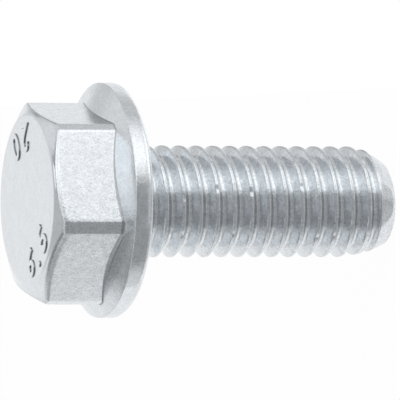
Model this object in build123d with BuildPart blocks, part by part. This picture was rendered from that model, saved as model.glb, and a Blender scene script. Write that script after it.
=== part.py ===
"""Hexagon bolt with flange, M8 x 1.25 x 20, right-hand thread up to the head.

One cold-headed and thread-rolled steel piece, so it is one solid. Millimetres, +Z up
through the head. The origin is where the bolt's axis meets the bearing face under the
flange: the head stands above z = 0 and the threaded shank hangs below it. Two opposite
corners of the hexagon lie on the X axis.
"""
import os
from math import ceil, cos, radians, sin, tan

from build123d import *

# ---- head ----
ACROSS_FLATS = 12.75         # for a 13 mm spanner
CORNER_RADIUS = 0.9          # rounded upright corners, as the heading die leaves them
HEAD_HEIGHT = 6.6            # bearing face to the flat top
TOP_FLAT_DIA = 11.9          # flat disc inside the top chamfer
TOP_CHAMFER_DEG = 25.0       # slope of the chamfer below the flat top
TOP_BLEND_RADIUS = 2.0       # soft blend from the flat top into the chamfer

# ---- flange ----
FLANGE_DIA = 16.4
RIM_HEIGHT = 1.4             # bearing face to the rim's upper edge
CONE_DEG = 25.0              # slope of the flange's upper side
RIM_UPPER_CHAMFER = 0.12
RIM_LOWER_CHAMFER = 0.2

# ---- shank ----
SHANK_LENGTH = 19.6          # bearing face to the point, nominal 20
NECK_LENGTH = 1.0            # plain neck between the bearing face and the thread
NECK_RELIEF = 0.03           # the neck lies this much below the thread's root, to clear the groove
SEAT_INNER_DIA = 8.0         # the flat bearing face starts here, just outside the thread
NECK_BLEND = 0.6             # height of the soft inner corner from there down to the neck
START_LENGTH = 0.5           # cone from the neck up to the first full crest
POINT_DIA = 6.0
POINT_LENGTH = 1.6           # chamfered lead-in at the free end

# ---- thread ----
CREST_DIA = 7.78             # over the rolled crests of an M8 thread
PITCH = 1.25
FLANK_DEG = 30.0             # half of the thread's 60 degree angle
CREST_DROP = 0.72            # depth below z = 0 of the crest's helix, on the +X side
CUTTER_RISE = 0.08           # the groove's section stands this far beyond the crests

# ---- values that follow ----
flange_r = FLANGE_DIA / 2
crest_r = CREST_DIA / 2
flank = tan(radians(FLANK_DEG))
root_half = PITCH / 8                            # basic profile: root P/4 wide, crest P/8
root_r = crest_r - (PITCH * 7 / 16 - root_half) / flank
neck_r = root_r - NECK_RELIEF
cutter_r = crest_r + CUTTER_RISE
cutter_half = root_half + (cutter_r - root_r) * flank
groove_low = PITCH / 2 - CREST_DROP - PITCH * ceil(SHANK_LENGTH / PITCH)
groove_high = root_half - NECK_LENGTH            # here it has run out over the neck
cone_high = RIM_HEIGHT + (flange_r - crest_r) * tan(radians(CONE_DEG))  # hidden in the hexagon
slope = radians(TOP_CHAMFER_DEG)
blend = TOP_BLEND_RADIUS * tan(slope / 2)
flat_r = TOP_FLAT_DIA / 2 - blend
slope_r = TOP_FLAT_DIA / 2 + blend * cos(slope)
slope_z = HEAD_HEIGHT - blend * sin(slope)
outer_r = ACROSS_FLATS                           # well clear of the hexagon's corners
outer_z = slope_z - (outer_r - slope_r) * tan(slope)

with BuildPart() as flange_bolt:
    # the hexagon
    with BuildSketch(Plane.XY.offset(RIM_HEIGHT)):
        RegularPolygon(radius=ACROSS_FLATS / 2, side_count=6, major_radius=False)
    extrude(amount=HEAD_HEIGHT - RIM_HEIGHT)
    fillet(flange_bolt.edges().filter_by(Axis.Z), radius=CORNER_RADIUS)

    # its flat top and chamfer: what stands outside this turned shape is taken off
    with BuildSketch(Plane.YZ):
        with BuildLine():
            Polyline(
                (flat_r, HEAD_HEIGHT), (0, HEAD_HEIGHT), (0, 0),
                (outer_r, 0), (outer_r, outer_z), (slope_r, slope_z),
            )
            TangentArc((flat_r, HEAD_HEIGHT), (slope_r, slope_z), tangent=(1, 0))
        make_face()
    revolve(axis=Axis.Z, mode=Mode.INTERSECT)

    # flange and shank, turned in one, the thread's diameter still plain
    with BuildSketch(Plane.YZ) as turned:
        with BuildLine():
            Polyline(
                (neck_r, -NECK_BLEND),
                (neck_r, -NECK_LENGTH),
                (crest_r, -NECK_LENGTH - START_LENGTH),
                (crest_r, POINT_LENGTH - SHANK_LENGTH),
                (POINT_DIA / 2, -SHANK_LENGTH),
                (0, -SHANK_LENGTH),
                (0, cone_high),
                (crest_r, cone_high),
                (flange_r, RIM_HEIGHT),
                (flange_r, 0),
                (SEAT_INNER_DIA / 2, 0),
            )
            Bezier((SEAT_INNER_DIA / 2, 0), (neck_r, 0), (neck_r, -NECK_BLEND))
        make_face()
        chamfer(turned.vertices().sort_by_distance((flange_r, RIM_HEIGHT))[0], RIM_UPPER_CHAMFER)
        chamfer(turned.vertices().sort_by_distance((flange_r, 0))[0], RIM_LOWER_CHAMFER)
    revolve(axis=Axis.Z)

    # the thread's groove, cut turn by turn, each turn starting where the last one ends
    for turn in range(ceil((groove_high - groove_low) / PITCH)):
        low = groove_low + turn * PITCH
        with BuildLine() as winding:
            Helix(pitch=PITCH, height=min(PITCH, groove_high - low), radius=root_r, center=(0, 0, low))
        with BuildSketch(Plane.XZ):
            with BuildLine():
                Polyline(
                    (root_r, low - root_half), (cutter_r, low - cutter_half),
                    (cutter_r, low + cutter_half), (root_r, low + root_half), close=True,
                )
            make_face()
        sweep(path=winding.wires()[0], is_frenet=True, mode=Mode.SUBTRACT)

flange_bolt.part.label = "flange_bolt"
os.makedirs("parts", exist_ok=True)
export_step(flange_bolt.part, "parts/flange_bolt.step")
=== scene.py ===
from math import ceil, cos, floor, pi, radians, sin, tan

import bmesh
import bpy
from mathutils import Matrix, Vector


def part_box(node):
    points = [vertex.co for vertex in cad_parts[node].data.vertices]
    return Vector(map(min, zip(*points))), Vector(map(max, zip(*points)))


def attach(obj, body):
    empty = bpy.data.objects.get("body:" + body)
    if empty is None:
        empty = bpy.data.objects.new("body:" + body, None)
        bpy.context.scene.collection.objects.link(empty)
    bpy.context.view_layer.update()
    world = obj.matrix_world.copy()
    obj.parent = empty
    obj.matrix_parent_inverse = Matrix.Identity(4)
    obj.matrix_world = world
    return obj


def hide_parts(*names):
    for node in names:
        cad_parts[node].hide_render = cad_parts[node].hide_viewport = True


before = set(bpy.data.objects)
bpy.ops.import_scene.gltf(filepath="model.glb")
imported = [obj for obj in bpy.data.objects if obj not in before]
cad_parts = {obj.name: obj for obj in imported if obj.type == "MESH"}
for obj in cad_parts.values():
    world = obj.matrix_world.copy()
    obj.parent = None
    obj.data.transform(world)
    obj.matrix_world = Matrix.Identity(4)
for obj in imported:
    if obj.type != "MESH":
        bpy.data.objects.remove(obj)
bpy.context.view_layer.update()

# ---- The bolt ----
# One cold-headed blank of steel: a hexagon on a round flange, with a thread rolled on the
# shank. The heading die leaves every edge a little round. Bright zinc plating covers it all.

MM = 0.001
MERGE = 0.002 * MM               # points nearer than this are one
bolt_low, bolt_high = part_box("flange_bolt")
head_top = bolt_high.z
point_end = bolt_low.z
rim_r = bolt_high.y

# the hexagon and its top
FLAT_TO_AXIS = 6.375 * MM        # half the width across the flats
CORNER_TO_AXIS = 7.18 * MM       # a corner is cut off flat, square to its own line
CORNER_BLEND = 0.05 * MM
TOP_EDGE_R = 5.95 * MM           # where the flat top and the chamfer would meet
TOP_BLEND_R = 0.7 * MM
SLOPE = tan(radians(25))         # of the chamfer and of the flange's cone
SIDE_EDGE_R = 0.12 * MM
FOOT_R = 0.12 * MM

# the flange and the neck
RIM_HEIGHT = 1.4 * MM
RIM_UPPER_R = 0.04 * MM
RIM_LOWER_R = 0.6 * MM
SEAT_INNER_R = 4.0 * MM
NECK_R = 3.183 * MM
NECK_BLEND = 0.6 * MM
HEAD_CUT = -0.75 * MM            # the head's mesh ends here, in the neck

# Turns round the bolt are counted in degrees from its front, which faces the camera. The die
# is worn on one side. On another, the short side, the steel hasn't filled it quite so far.
FRONT = radians(-16.43)
WORN_TURN = -30
CORNER_WORN = 0.05 * MM          # how much more is gone from a corner there
SIDE_EDGE_WORN = 0.48 * MM       # and how much rounder the edges are
FOOT_WORN = 0.28 * MM
RIM_UPPER_WORN = 0.1 * MM
SHORT_TURN = -90
HEXAGON_OFF = 0.15 * MM          # how far the hexagon is forged towards the short side
TOP_EDGE_SHORT = 0.32 * MM       # how much less far the top and the rim reach there
RIM_SHORT = 0.12 * MM

# the painted shade round the hexagon's foot, the darker lines along its side edges and the
# grain of its forged skin, all from 0 to 1
FOOT_PAINTED_SHADE = 0.7                 # round the foot of the hexagon
FOOT_SHADE_LESS_WORN = 0.25         # less where the die is worn
FOOT_SHADE_LESS_LONG = 0.5          # and less opposite the short side
# darker lines along the hexagon's upper side edges, where they are sharp and where worn
SHARP_EDGE_DARKENING = 0.15
WORN_EDGE_DARKENING = 0.12
HEXAGON_GRAIN = 0.52
CONE_GRAIN = 0.25
WORN_GRAIN = 0.48                # this much more where the die is worn
RIM_GRAIN = 0.5

# the head's mesh: how many pieces each run of its section and each sixth of its round has
ARC_STEPS = 6
TOP_STEPS = 8
CHAMFER_STEPS = 4
SIDE_STEPS = 8
CONE_STEPS = 4
RIM_STEPS = 3
SEAT_STEPS = 6
CORNER_HALF = radians(3.6)       # the turn from a corner's middle to where its flat begins
CORNER_COLUMNS = 6
FLAT_COLUMNS = 30


def outward(turn):
    """The direction straight out from the axis, at this turn from the bolt's front."""
    around = FRONT - pi / 2 + radians(turn)
    return Vector((cos(around), sin(around), 0))


def rounded(corners, steps):
    """The points of a broken line whose inner corners are rounded: (r, z, radius) each."""
    points = [Vector(corner[:2]) for corner in corners]
    radii = [corner[2] for corner in corners]
    turns = [0.0]
    for before, here, after in zip(points, points[1:], points[2:]):
        turns.append((here - before).angle(after - here))
    turns.append(0.0)
    reach = [radius * tan(turn / 2) for radius, turn in zip(radii, turns)]
    line = [points[0]]
    for i in range(1, len(points) - 1):
        to_before, to_after = points[i - 1] - points[i], points[i + 1] - points[i]
        # a rounding that would run into the next one is made smaller
        fit = min(1.0,
                  0.98 * to_before.length / (reach[i] + reach[i - 1]),
                  0.98 * to_after.length / (reach[i] + reach[i + 1]))
        start = points[i] + to_before.normalized() * reach[i] * fit
        end = points[i] + to_after.normalized() * reach[i] * fit
        inwards = (to_before.normalized() + to_after.normalized()).normalized()
        middle = points[i] + inwards * (radii[i] * fit / cos(turns[i] / 2))
        side = start - middle
        sweep = side.angle_signed(end - middle)
        for step in range(steps + 1):
            line.append(middle + Matrix.Rotation(-sweep * step / steps, 2) @ side)
    line.append(points[-1])
    return line


def hexagon_r(around, corner_to_axis):
    """How far the hexagon's side is from the axis, at an angle from one of its corners."""
    from_corner = (around + pi / 6) % (pi / 3) - pi / 6
    side = FLAT_TO_AXIS / cos(pi / 6 - abs(from_corner))
    corner = corner_to_axis / cos(from_corner)
    near = max(1 - abs(side - corner) / CORNER_BLEND, 0)
    return min(side, corner) - near ** 2 * CORNER_BLEND / 4


arc = [1] * ARC_STEPS
head_steps = [TOP_STEPS, *arc, CHAMFER_STEPS, *arc, SIDE_STEPS, *arc, CONE_STEPS, *arc,
              RIM_STEPS, *arc, SEAT_STEPS]
chamfer_row = TOP_STEPS + ARC_STEPS
side_edge_row = chamfer_row + CHAMFER_STEPS
foot_row = side_edge_row + ARC_STEPS + SIDE_STEPS
rim_row = foot_row + ARC_STEPS + CONE_STEPS
seat_row = rim_row + ARC_STEPS + RIM_STEPS + ARC_STEPS


def head_section(side_r, side_edge_r, foot_r, rim_upper_r, short):
    """Half the head's section, from the middle of its top down to the neck."""
    top_edge_r = TOP_EDGE_R - TOP_EDGE_SHORT * short
    flange_r = rim_r - RIM_SHORT * short
    outside = rounded([
        (0, head_top, 0),
        (top_edge_r, head_top, TOP_BLEND_R),
        (side_r, head_top - (side_r - top_edge_r) * SLOPE, side_edge_r),
        (side_r, RIM_HEIGHT + (flange_r - side_r) * SLOPE, foot_r),
        (flange_r, RIM_HEIGHT, rim_upper_r),
        (flange_r, 0, RIM_LOWER_R),
        (SEAT_INNER_R, 0, 0),
    ], ARC_STEPS)
    section = []
    for before, after, steps in zip(outside, outside[1:], head_steps):
        section += [before.lerp(after, step / steps) for step in range(steps)]
    section.append(outside[-1])
    for step in range(1, ARC_STEPS + 1):
        t = step / ARC_STEPS
        section.append(Vector((
            SEAT_INNER_R * (1 - t) ** 2 + NECK_R * (1 - (1 - t) ** 2),
            -NECK_BLEND * t ** 2,
        )))
    section.append(Vector((NECK_R, HEAD_CUT)))
    return section


# The head is spun as a plain turned shape, and its columns are then set to the hexagon.
head = bmesh.new()
painted_shade_and_dark_lines = head.verts.layers.float.new("painted_shade_and_dark_lines")
forged = head.verts.layers.float.new("forged")
start = [head.verts.new((p.x, 0, p.y))
         for p in head_section(FLAT_TO_AXIS, SIDE_EDGE_R, FOOT_R, RIM_UPPER_R, 0)]
for above, below in zip(start, start[1:]):
    head.edges.new((above, below))
rows = len(start)
sector_columns = 2 * CORNER_COLUMNS + FLAT_COLUMNS
bmesh.ops.spin(head, geom=head.verts[:] + head.edges[:], cent=(0, 0, 0), axis=(0, 0, 1),
               angle=2 * pi, steps=6 * sector_columns, use_merge=True)
head.verts.ensure_lookup_table()
corner_step = CORNER_HALF / CORNER_COLUMNS
flat_step = (pi / 3 - 2 * CORNER_HALF) / FLAT_COLUMNS
for column in range(6 * sector_columns):
    sector, place = divmod(column, sector_columns)
    in_flat = min(max(place - CORNER_COLUMNS, 0), FLAT_COLUMNS)
    around = sector * pi / 3 + in_flat * flat_step + (place - in_flat) * corner_step
    out = Vector((cos(around), sin(around), 0))
    # how far this column is on the worn, the short and the long side, from 0 to 1
    near_worn = max(0, out.dot(outward(WORN_TURN)))
    worn = near_worn ** 6
    short = max(0, out.dot(outward(SHORT_TURN))) ** 2
    long = max(0, -out.dot(outward(SHORT_TURN))) ** 4
    section = head_section(hexagon_r(around, CORNER_TO_AXIS - CORNER_WORN * worn),
                           SIDE_EDGE_R + SIDE_EDGE_WORN * near_worn,
                           FOOT_R + FOOT_WORN * worn,
                           RIM_UPPER_R + RIM_UPPER_WORN * near_worn,
                           short)
    for row, point in enumerate(section):
        vertex = head.verts[column * rows + row]
        # painted shade round the hexagon's foot, less where the die is worn and opposite the
        # short side
        if foot_row < row < foot_row + ARC_STEPS:
            vertex[painted_shade_and_dark_lines] = FOOT_PAINTED_SHADE - FOOT_SHADE_LESS_WORN * worn - FOOT_SHADE_LESS_LONG * long
        # darker rows along the hexagon's upper side edges, sharp ones and worn ones
        elif side_edge_row <= row <= side_edge_row + 1:
            vertex[painted_shade_and_dark_lines] = SHARP_EDGE_DARKENING * (1 - worn)
        elif side_edge_row + 2 <= row <= side_edge_row + 4:
            vertex[painted_shade_and_dark_lines] = WORN_EDGE_DARKENING * worn
        if side_edge_row < row < foot_row + ARC_STEPS / 2:
            vertex[forged] = HEXAGON_GRAIN + WORN_GRAIN * worn
        elif foot_row < row < rim_row:
            vertex[forged] = CONE_GRAIN + WORN_GRAIN * worn
        elif rim_row <= row <= seat_row:
            vertex[forged] = RIM_GRAIN
        off = HEXAGON_OFF * min(1, max(0, (row - chamfer_row) / CHAMFER_STEPS),
                                max(0, (rim_row - row) / CONE_STEPS))
        vertex.co = point.x * out + off * outward(SHORT_TURN) + Vector((0, 0, point.y))
bmesh.ops.remove_doubles(head, verts=head.verts, dist=MERGE)

# The thread: one section through a turn, from crest to crest, is spun once round for all its
# turns together, while it climbs one pitch. The rolled steel closes along the crest in a seam.
PITCH = 1.25 * MM
CREST_R = 3.89 * MM
ROOT_R = 3.213 * MM
CREST_DROP = 0.72 * MM           # of the crest's helix below the seat, on the +X side
CREST_ROUND = 0.05 * MM          # and twice as round towards the point
ROOT_ROUND = 0.16 * MM
SEAM_DEPTH = 0.02 * MM
SEAM_WIDTH = 0.04 * MM
SEAM_ROUND = 0.01 * MM
BEFORE_SEAM = 0.11 * MM          # the crest's reach from the seam, towards the head
AFTER_SEAM = 0.08 * MM           # and towards the point
flank = (CREST_R - ROOT_R) * tan(radians(30))
turn_corners = [
    (CREST_R - SEAM_DEPTH, 0, 0),
    (CREST_R, -SEAM_WIDTH / 2, SEAM_ROUND),
    (CREST_R, -AFTER_SEAM, 2 * CREST_ROUND),
    (ROOT_R, -AFTER_SEAM - flank, ROOT_ROUND),
    (ROOT_R, BEFORE_SEAM + flank - PITCH, ROOT_ROUND),
    (CREST_R, BEFORE_SEAM - PITCH, CREST_ROUND),
    (CREST_R, SEAM_WIDTH / 2 - PITCH, SEAM_ROUND),
    (CREST_R - SEAM_DEPTH, -PITCH, 0),
]
THREAD_COLUMNS = 156
THREAD_ARC_STEPS = 3
LONGEST_STEP = PITCH / 10

# Painted shade darkens the seam, and darker lines run beside the crest: from, to, and how
# much, with the places measured down from the seam. Both are strongest on one side of the
# bolt.
THREAD_SHADE_AND_LINES = ((0, 0.01 * MM, 0.8), (0.1 * MM, 0.17 * MM, 0.22), (1.12 * MM, 1.14 * MM, 0.25))
THREAD_SHADE_TURN = 70
THREAD_SHADE_ELSEWHERE = 0.06
THREAD_GRAIN = 0.8

# small nicks in the crests: turn, which crest below the seat, and size in millimetres
NICK_DEPTH = 0.08 * MM
NICK_REACH = 0.85                # from a nick's middle, as a share of its size
NICKS = ((3, 2, 0.24), (-2, 5, 0.28), (-37, 2, 0.26), (-36, 5, 0.22), (10, 6, 0.26),
         (13, 4, 0.22), (-40, 10, 0.22), (-38, 11, 0.26), (-44, 13, 0.24), (16, 9, 0.2),
         (-20, 12, 0.2), (150, 4, 0.26), (95, 8, 0.24), (-120, 6, 0.28), (-160, 11, 0.24))

# how the thread starts below the neck, and ends in the point
THREAD_CUT = -0.85 * MM          # the thread's mesh starts here, a little below the head's
NECK_END = -1.0 * MM
START_END = -1.5 * MM            # the first full crest
LEAD_LENGTH = 3.4 * MM           # the last crests are lower on the short side
LEAD_BLEND = 1.7 * MM            # coming down to that over this length
LEAD_SHORT = 0.22 * MM
POINT_LENGTH = 1.9 * MM
POINT_R = 2.9 * MM
POINT_OFF = 0.12 * MM            # how far the point is cut off the axis, to the short side
END_ROUND = 0.35 * MM            # of the end's edge, on the side away from that
ON_THE_CUT = 0.00001 * MM        # points this near to a cut lie on it


def split(line, longest):
    """The same line with its long runs cut into even pieces."""
    cut = [line[0]]
    for before, after in zip(line, line[1:]):
        pieces = max(1, ceil((after - before).length / longest))
        cut += [before.lerp(after, piece / pieces) for piece in range(1, pieces + 1)]
    return cut


def inside_envelope(place):
    """Pull a place into the turned shape round the thread: neck, start, full crests, point."""
    start_share = min(max((NECK_END - place.z) / (NECK_END - START_END), 0), 1)
    point_share = max((point_end + POINT_LENGTH - place.z) / POINT_LENGTH, 0)
    lead_share = min(max((point_end + LEAD_LENGTH - place.z) / LEAD_BLEND, 0), 1)
    end_share = min(max((point_end + END_ROUND - place.z) / END_ROUND, 0), 1)
    short_side = outward(SHORT_TURN)
    short = short_side.dot(place) / place.xy.length
    outermost = min(
        NECK_R + (CREST_R - NECK_R) * start_share - (CREST_R - POINT_R) * point_share,
        CREST_R - LEAD_SHORT * lead_share * max(0, short) ** 2,
    )
    outermost -= END_ROUND * (1 - (1 - end_share ** 2) ** 0.5) * (0.5 - 0.5 * short) ** 2
    middle = POINT_OFF * point_share * short_side + Vector((0, 0, place.z))
    from_middle = place - middle
    return middle + from_middle * min(1, outermost / from_middle.length)


turn_line = split(rounded(turn_corners, THREAD_ARC_STEPS), LONGEST_STEP)[:-1]
top_turn = ceil((THREAD_CUT + CREST_DROP) / PITCH) + 1
bottom_turn = floor((point_end + CREST_DROP) / PITCH) - 1
shank = bmesh.new()
painted_shade_and_dark_lines = shank.verts.layers.float.new("painted_shade_and_dark_lines")
forged = shank.verts.layers.float.new("forged")
start = []
for turn in range(top_turn, bottom_turn - 1, -1):
    for p in turn_line:
        vertex = shank.verts.new((p.x, 0, p.y + turn * PITCH - CREST_DROP))
        # painted shade in the seam, and darker lines beside the crest
        vertex[painted_shade_and_dark_lines] = sum(much for near, far, much in THREAD_SHADE_AND_LINES if near <= -p.y <= far)
        vertex[forged] = THREAD_GRAIN
        start.append(vertex)
for above, below in zip(start, start[1:]):
    shank.edges.new((above, below))
bmesh.ops.spin(shank, geom=shank.verts[:] + shank.edges[:], cent=(0, 0, 0), axis=(0, 0, 1),
               dvec=(0, 0, PITCH / THREAD_COLUMNS), angle=2 * pi, steps=THREAD_COLUMNS,
               use_merge=False)
bmesh.ops.remove_doubles(shank, verts=shank.verts, dist=MERGE)
# the painted shade and the dark lines are strongest on one side of the bolt
for vertex in shank.verts:
    near_thread_shade = max(0, outward(THREAD_SHADE_TURN).dot(vertex.co) / CREST_R) ** 2
    vertex[painted_shade_and_dark_lines] *= THREAD_SHADE_ELSEWHERE + (1 - THREAD_SHADE_ELSEWHERE) * near_thread_shade
for turn, crest, size in NICKS:
    around = FRONT - pi / 2 + radians(turn)
    height = PITCH * around / (2 * pi) - CREST_DROP - crest * PITCH
    nick = CREST_R * outward(turn) + Vector((0, 0, height))
    for vertex in shank.verts:
        share = 1 - (vertex.co - nick).length / (NICK_REACH * size * MM)
        if share > 0:
            vertex.co -= NICK_DEPTH * share ** 0.5 * outward(turn)
for vertex in shank.verts:
    vertex.co = inside_envelope(vertex.co)
for height, keep in ((THREAD_CUT, 1), (point_end, -1)):
    bmesh.ops.bisect_plane(shank, geom=shank.verts[:] + shank.edges[:] + shank.faces[:],
                           dist=ON_THE_CUT, plane_co=(0, 0, height), plane_no=(0, 0, keep),
                           clear_outer=True)
end_edges = [edge for edge in shank.edges
             if edge.is_boundary and abs(edge.verts[0].co.z - point_end) < MERGE]
bmesh.ops.edgeloop_fill(shank, edges=end_edges)

# Head and shank become one skin, joined round the neck.
shank_mesh = bpy.data.meshes.new("shank")
shank.to_mesh(shank_mesh)
shank.free()
head.from_mesh(shank_mesh)
bpy.data.meshes.remove(shank_mesh)
bmesh.ops.bridge_loops(head, edges=[edge for edge in head.edges if edge.is_boundary])
bmesh.ops.recalc_face_normals(head, faces=head.faces)
for face in head.faces:
    face.smooth = True
bolt_mesh = bpy.data.meshes.new("bolt")
head.to_mesh(bolt_mesh)
head.free()
bolt = bpy.data.objects.new("bolt", bolt_mesh)
bpy.context.collection.objects.link(bolt)
even_normals = bolt.modifiers.new("even_normals", "WEIGHTED_NORMAL")
even_normals.weight = 50
even_normals.keep_sharp = False


def bright_zinc():
    """Bright zinc plating: a cool pale metal, faintly mottled, over the grain of the steel."""
    zinc = bpy.data.materials.new("bright_zinc")
    zinc.use_nodes = True
    nodes, links = zinc.node_tree.nodes, zinc.node_tree.links
    shader = nodes["Principled BSDF"]
    shader.inputs["Metallic"].default_value = 1.0
    place = nodes.new("ShaderNodeTexCoord")

    def noise(size, detail):
        """Noise whose patches are about this size in metres."""
        mapping = nodes.new("ShaderNodeMapping")
        mapping.inputs["Scale"].default_value = (1 / size, 1 / size, 1 / size)
        links.new(place.outputs["Object"], mapping.inputs["Vector"])
        texture = nodes.new("ShaderNodeTexNoise")
        texture.inputs["Scale"].default_value = 1.0
        texture.inputs["Detail"].default_value = detail
        links.new(mapping.outputs["Vector"], texture.inputs["Vector"])
        return texture.outputs["Fac"]

    def ramp(value, *stops):
        """A colour ramp from (place, grey or colour) stops."""
        made = nodes.new("ShaderNodeValToRGB")
        while len(made.color_ramp.elements) < len(stops):
            made.color_ramp.elements.new(0.5)
        for element, (where, colour) in zip(made.color_ramp.elements, stops):
            element.position = where
            element.color = (*(colour if isinstance(colour, tuple) else (colour,) * 3), 1)
        links.new(value, made.inputs["Fac"])
        return made.outputs["Color"]

    def attribute(name):
        """A value that the mesh keeps at each of its points."""
        made = nodes.new("ShaderNodeAttribute")
        made.attribute_name = name
        return made.outputs["Fac"]

    def multiply(one, other, share=None):
        """One colour darkened by another, all over or by a share."""
        made = nodes.new("ShaderNodeMix")
        made.data_type = "RGBA"
        made.blend_type = "MULTIPLY"
        made.inputs["Factor"].default_value = 1.0
        if share:
            links.new(share, made.inputs["Factor"])
        links.new(one, made.inputs[6])
        links.new(other, made.inputs[7])
        return made.outputs[2]

    def bump(height, rise, below=None, share=None):
        """A bump of this many metres on top of another."""
        made = nodes.new("ShaderNodeBump")
        made.inputs["Strength"].default_value = 1.0
        if share:
            links.new(share, made.inputs["Strength"])
        made.inputs["Distance"].default_value = rise
        links.new(height, made.inputs["Height"])
        if below:
            links.new(below, made.inputs["Normal"])
        return made.outputs["Normal"]

    mottle = ramp(noise(0.8 * MM, 3), (0.3, (0.765, 0.8, 0.83)), (0.7, (0.803, 0.839, 0.87)))
    speckle = ramp(noise(0.14 * MM, 2), (0.3, 0.9), (0.55, 1.0))
    # painted shade round the hexagon's foot, in the thread's seam and round the figures, and
    # darker lines along the head's side edges and beside the crests, all kept by the mesh
    shade_and_line_darkening = ramp(attribute("painted_shade_and_dark_lines"), (0, 1.0), (0.7, 0.5), (1, 0.38))
    plating = multiply(multiply(mottle, speckle), shade_and_line_darkening)

    # where the dies have pressed, the steel under the plating is grainy, with small pits
    pits = nodes.new("ShaderNodeTexVoronoi")
    pits.inputs["Scale"].default_value = 1 / (1.5 * MM)
    links.new(place.outputs["Object"], pits.inputs["Vector"])
    spots = ramp(pits.outputs["Distance"], (0.02, 0.35), (0.05, 1.0))
    pores = ramp(noise(0.11 * MM, 2), (0.25, 0.68), (0.5, 1.04))
    patches = ramp(noise(0.4 * MM, 2), (0.3, 0.9), (0.7, 1.04))
    pressed = attribute("forged")
    colour = multiply(plating, multiply(multiply(spots, pores), patches), pressed)
    links.new(colour, shader.inputs["Base Color"])
    links.new(ramp(noise(0.5 * MM, 4), (0.3, 0.17), (0.7, 0.26)), shader.inputs["Roughness"])

    waves = bump(noise(1.0 * MM, 1), 0.010 * MM)
    dapple = bump(noise(0.3 * MM, 2), 0.005 * MM, waves)
    grain = bump(noise(0.12 * MM, 2), 0.002 * MM, dapple)
    skin = bump(noise(0.2 * MM, 3), 0.014 * MM, grain, pressed)
    links.new(skin, shader.inputs["Normal"])
    return zinc


zinc = bright_zinc()
bolt.data.materials.append(zinc)
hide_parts("flange_bolt")
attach(bolt, "root")
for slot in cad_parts["flange_bolt"].material_slots:
    slot.material = zinc

# ---- The head marks ----
# Raised marks that the heading die leaves on the flat top: a strength class on one side and a
# length on the other, both in plain figures. They are the bolt's own steel and plating.

FIGURE_SIZE = 2.8                # these four are in millimetres
FIGURE_RELIEF = 0.05
FIGURE_ROUND = 0.045
FIGURE_STROKE = 0.01             # how much bolder than the plain letter shapes
FIGURE_RING = 4.5 * MM
FIGURE_FOOT = 0.06 * MM          # painted shade lies round the figures' sides up to this height
FIGURE_MERGE = 0.0001 * MM
FIGURES = (("5", -36), (".", -56), ("6", -76), ("2", 94), ("0", 122))    # and their turns


def on_the_top(turn):
    """A place on the flat top, at this turn from the front, with its foot outwards."""
    return Matrix.Translation(FIGURE_RING * outward(turn) + Vector((0, 0, head_top))) \
        @ Matrix.Rotation(FRONT + radians(turn), 4, "Z")


def figure(text):
    """A raised figure as a closed mesh, one unit to the millimetre."""
    curve = bpy.data.curves.new("figure", "FONT")
    curve.body = text
    curve.size = FIGURE_SIZE
    curve.align_x = "CENTER"
    curve.align_y = "CENTER"
    curve.extrude = FIGURE_RELIEF
    curve.bevel_depth = FIGURE_ROUND
    curve.bevel_resolution = 2
    curve.offset = FIGURE_STROKE
    drawn = bpy.data.objects.new("figure", curve)
    mesh = bpy.data.meshes.new_from_object(drawn)
    bpy.data.objects.remove(drawn)
    bpy.data.curves.remove(curve)
    return mesh


marks = bmesh.new()
for text, turn in FIGURES:
    raised = figure(text)
    raised.transform(on_the_top(turn) @ Matrix.Diagonal((MM, MM, MM, 1)))
    marks.from_mesh(raised)
    bpy.data.meshes.remove(raised)
bmesh.ops.remove_doubles(marks, verts=marks.verts, dist=FIGURE_MERGE)
bmesh.ops.recalc_face_normals(marks, faces=marks.faces)
painted_shade_and_dark_lines = marks.verts.layers.float.new("painted_shade_and_dark_lines")
# painted shade on the figures' sides, round their feet
for vertex in marks.verts:
    vertex[painted_shade_and_dark_lines] = float(vertex.co.z < head_top + FIGURE_FOOT)
marks_mesh = bpy.data.meshes.new("head_marks")
marks.to_mesh(marks_mesh)
marks.free()
head_marks = bpy.data.objects.new("head_marks", marks_mesh)
bpy.context.collection.objects.link(head_marks)
head_marks.data.materials.append(zinc)
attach(head_marks, "root")

# ---- The table ----
# A pale board, painted matt white, that the bolt stands on. Its front edge lies close before
# the bolt, so that the soft box reaches the shank from low down.

BOARD_FRONT = 0.003              # from the bolt's axis to the front edge, in metres
BOARD_SIDE = 0.008
BOARD_SIZE = 2.0                 # half its width
SHADOW_SHARE = 0.03              # how much of the shadow shows
board_mesh = bmesh.new()
bmesh.ops.create_grid(board_mesh, x_segments=1, y_segments=1, size=BOARD_SIZE,
                      matrix=Matrix.Rotation(FRONT, 4, "Z")
                      @ Matrix.Translation((BOARD_SIDE - BOARD_SIZE, BOARD_SIZE - BOARD_FRONT,
                                            point_end)))
board = bpy.data.objects.new("board", bpy.data.meshes.new("board"))
board_mesh.to_mesh(board.data)
board_mesh.free()
bpy.context.collection.objects.link(board)


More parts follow.
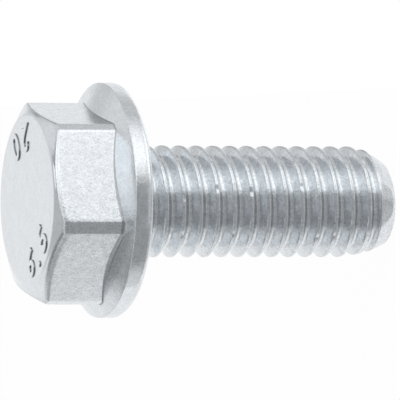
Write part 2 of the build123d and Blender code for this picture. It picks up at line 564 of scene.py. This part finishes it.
def board_white():
    """Matt white paint that shows as white, also in the metal, and still takes a shadow."""
    paint = bpy.data.materials.new("board_white")
    paint.use_nodes = True
    nodes, links = paint.node_tree.nodes, paint.node_tree.links
    matt = nodes["Principled BSDF"]
    matt.inputs["Base Color"].default_value = (0.95, 0.95, 0.95, 1)
    matt.inputs["Roughness"].default_value = 0.9
    matt.inputs["Specular IOR Level"].default_value = 0.0
    white = nodes.new("ShaderNodeEmission")
    seen = nodes.new("ShaderNodeLightPath")

    def maths(operation, one, other):
        made = nodes.new("ShaderNodeMath")
        made.operation = operation
        links.new(one, made.inputs[0])
        if isinstance(other, float):
            made.inputs[1].default_value = other
        else:
            links.new(other, made.inputs[1])
        return made.outputs["Value"]

    either = maths("MAXIMUM", seen.outputs["Is Camera Ray"], seen.outputs["Is Glossy Ray"])
    either = maths("MAXIMUM", either, seen.outputs["Is Transmission Ray"])
    mix = nodes.new("ShaderNodeMixShader")
    links.new(maths("MULTIPLY", either, 1 - SHADOW_SHARE), mix.inputs["Fac"])
    links.new(matt.outputs["BSDF"], mix.inputs[1])
    links.new(white.outputs["Emission"], mix.inputs[2])
    links.new(mix.outputs["Shader"], nodes["Material Output"].inputs["Surface"])
    return paint


board.data.materials.append(board_white())

# ---- The light ----
# Soft studio light from all round: a pale room in which a soft box, grey screens and dark
# screens stand. Each is a soft-edged oblong or round patch of the surroundings. Its turn is
# counted from the bolt's front, and its height from the level of the table, all in degrees.

ROOM = 0.94
SCREENS = (
    # turn, half width, soft edge, height, half height, soft edge, light
    (160, 30, 8, -44, 16, 6, 1.2),     # a brighter floor far behind
    (-125, 24, 10, -5, 35, 10, 0.76),  # the far side, a little greyer than the room
    (104, 22, 13, -18, 24, 6, 0.63),   # a grey screen beyond the soft box
    (132, 31, 4, 2, 11, 4, 0.6),       # a higher one behind it
    (126, 46, 8, 26, 16, 6, 0.66),     # and one above both
    (139, 11, 3, 1, 16, 2, 0.38),      # a narrow dark one before them
    (48, 31, 6, 6, 38, 6, 1.02),       # the soft box
    (50, 14, 5, -10, 18, 5, 1.36),     # its brighter middle
    (31, 8, 5, 20, 26, 8, 1.32),       # its bright end
    (55, 35, 6, -53, 12, 4, 1.5),      # and its bright foot
    (-88, 12, 6, 0, 45, 10, 0.72),     # a grey screen beyond the dark side
    (-95, 16, 5, 15, 22, 6, 0.46),     # a dark one above it
    (-80, 12, 5, -50, 16, 6, 0.42),    # and one below it
    (-25, 47, 8, -18, 71, 8, 0.35),    # the dark side, round the camera
    (0, 30, 8, -47, 17, 6, 0.58),      # with a paler foot
)
ROUND_SCREENS = (
    # turn, height, radius, soft edge, light
    (150, 55, 24, 8, 0.82),            # the pale end of the ceiling
    (-158, 62, 24, 8, 0.56),           # its grey side
    (-116, 54, 18, 5, 0.3),            # its dark side
    (110, 70, 11, 4, 0.3),             # a dark patch above the grey screens
    (-20, 60, 17, 5, 0.34),            # a dark patch above the camera
    (60, 59, 14, 6, 1.36),             # the soft box's upper end
    (66, -76, 12, 5, 0.66),            # grey cloth below the soft box
    (-78, -70, 18, 6, 0.58),           # and below the dark side
)


def towards(turn, height):
    """The direction at this turn and height, in degrees."""
    return outward(turn) * cos(radians(height)) + Vector((0, 0, sin(radians(height))))


def studio():
    """The surroundings: white to the camera, and the room with its screens to all else."""
    room = bpy.data.worlds.new("studio")
    room.use_nodes = True
    nodes, links = room.node_tree.nodes, room.node_tree.links

    def put(socket, value):
        if isinstance(value, float):
            socket.default_value = value
        else:
            links.new(value, socket)

    def maths(operation, *values):
        node = nodes.new("ShaderNodeMath")
        node.operation = operation
        for socket, value in zip(node.inputs, values):
            put(socket, value)
        return node.outputs["Value"]

    def ramp(value, nought, full):
        """A soft step: none at the first bound, all at the second."""
        node = nodes.new("ShaderNodeMapRange")
        node.interpolation_type = "SMOOTHSTEP"
        links.new(value, node.inputs["Value"])
        node.inputs["From Min"].default_value = nought
        node.inputs["From Max"].default_value = full
        return node.outputs["Result"]

    def blend(below, above, share):
        node = nodes.new("ShaderNodeMix")
        node.data_type = "FLOAT"
        links.new(share, node.inputs["Factor"])
        put(node.inputs["A"], below)
        put(node.inputs["B"], above)
        return node.outputs["Result"]

    direction = nodes.new("ShaderNodeTexCoord").outputs["Generated"]
    parts = nodes.new("ShaderNodeSeparateXYZ")
    links.new(direction, parts.inputs["Vector"])
    azimuth = maths("ARCTAN2", parts.outputs["X"], maths("MULTIPLY", parts.outputs["Y"], -1.0))
    turned = maths("SUBTRACT", azimuth, FRONT)
    raised = maths("ARCSINE", parts.outputs["Z"])
    light = ROOM
    for turn, half_width, side_soft, height, half_height, end_soft, bright in SCREENS:
        aside = maths("WRAP", maths("SUBTRACT", turned, radians(turn)), pi, -pi)
        across = ramp(maths("ABSOLUTE", aside),
                      radians(half_width + side_soft), radians(half_width - side_soft))
        up = ramp(maths("ABSOLUTE", maths("SUBTRACT", raised, radians(height))),
                  radians(half_height + end_soft), radians(half_height - end_soft))
        light = blend(light, bright, maths("MULTIPLY", across, up))
    for turn, height, radius, soft, bright in ROUND_SCREENS:
        near = nodes.new("ShaderNodeVectorMath")
        near.operation = "DOT_PRODUCT"
        near.inputs[1].default_value = towards(turn, height)
        links.new(direction, near.inputs[0])
        share = ramp(near.outputs["Value"],
                     cos(radians(radius + soft)), cos(radians(radius - soft)))
        light = blend(light, bright, share)
    seen = nodes.new("ShaderNodeLightPath").outputs["Is Camera Ray"]
    links.new(blend(light, 1.0, seen), nodes["Background"].inputs["Strength"])
    nodes["Background"].inputs["Color"].default_value = (1, 1, 1, 1)
    return room


bpy.context.scene.world = studio()

# ---- The camera ----
# A long lens looks down a little on the bolt's front. It is rolled on its side, so that the
# bolt lies across the picture with its head on the left.

AIM_HEIGHT = -0.006095           # the place that it looks at, in metres from the seat
AIM_ASIDE = 0.0001               # and from the bolt's axis
CAMERA_DISTANCE = 0.40207
CAMERA_TURN = -0.05              # in degrees, as for the screens
CAMERA_HEIGHT = 19.8
CAMERA_ROLL = -89.85
camera = bpy.data.objects.new("camera", bpy.data.cameras.new("camera"))
bpy.context.collection.objects.link(camera)
backwards = towards(CAMERA_TURN, CAMERA_HEIGHT)
camera.location = AIM_ASIDE * outward(90) + Vector((0, 0, AIM_HEIGHT)) \
    + CAMERA_DISTANCE * backwards
upright = backwards.to_track_quat("Z", "Y").to_matrix()
camera.rotation_euler = (upright @ Matrix.Rotation(radians(CAMERA_ROLL), 3, "Z")).to_euler()
camera.data.lens = 519.7
camera.data.sensor_width = 36
camera.data.clip_end = 10
bpy.context.scene.camera = camera
bpy.context.scene.view_settings.view_transform = "Standard"

bpy.context.view_layer.update()
